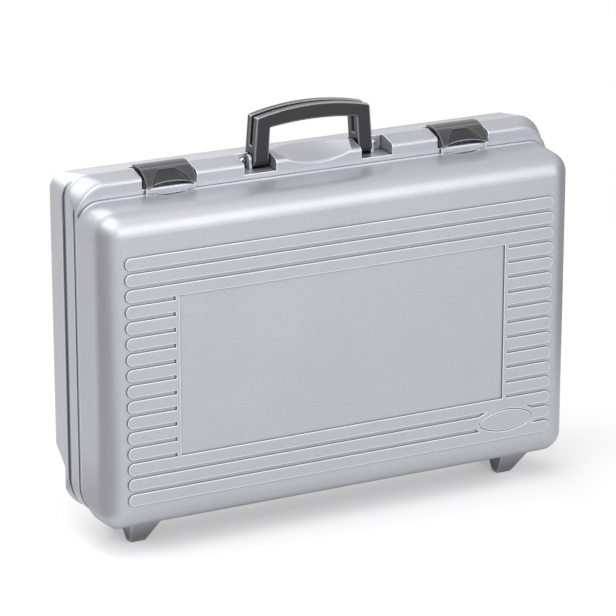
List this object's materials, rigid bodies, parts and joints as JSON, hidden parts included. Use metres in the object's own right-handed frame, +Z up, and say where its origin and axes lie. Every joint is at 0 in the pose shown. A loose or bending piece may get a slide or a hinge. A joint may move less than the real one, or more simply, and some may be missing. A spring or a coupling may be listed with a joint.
{
  "type": "plastic carrying case",
  "caption": "Hard plastic carrying case with ribbed front, two hinged shells, snap latches and a folding carrying handle, standing upright on moulded feet",
  "frame": {"origin": "on the floor under the middle of the case's box, with the case standing upright on its four feet", "axes": "+X to the right seen from the front, +Y to the back, +Z up"},
  "size_m": [0.48, 0.1225, 0.3805],
  "materials": {
    "silver_plastic": "silver-grey moulded ABS with a fine texture",
    "black_plastic": "charcoal glass-filled nylon",
    "latch_plastic": "semi-gloss dark grey ABS",
    "steel": "zinc-plated steel"
  },
  "bodies": {
    "root": {"rear_shell": "silver_plastic", "handle_pin_left": "steel", "handle_pin_right": "steel", "handle_screws": "steel", "latch_pin_left": "steel", "latch_pin_right": "steel", "hinge_pin_left": "steel", "hinge_pin_right": "steel"},
    "lid": {"front_shell": "silver_plastic"},
    "handle": {"handle": "black_plastic"},
    "latch_left": {"latch_left": "latch_plastic"},
    "latch_right": {"latch_right": "latch_plastic"}
  },
  "joints": [
    {"name": "lid_hinge", "type": "hinge", "parent": "root", "child": "lid", "pos_m": [0, -0.009, 0.02], "axis": [1, 0, 0], "range_deg": [0, 95]},
    {"name": "handle_fold", "type": "hinge", "parent": "root", "child": "handle", "pos_m": [0, 0.0095, 0.3345], "axis": [1, 0, 0], "range_deg": [0, 90]},
    {"name": "latch_left_swing", "type": "hinge", "parent": "root", "child": "latch_left", "pos_m": [-0.1492, 0.0145, 0.3345], "axis": [-1, 0, 0], "range_deg": [0, 95]},
    {"name": "latch_right_swing", "type": "hinge", "parent": "root", "child": "latch_right", "pos_m": [0.1492, 0.0145, 0.3345], "axis": [-1, 0, 0], "range_deg": [0, 95]}
  ]
}
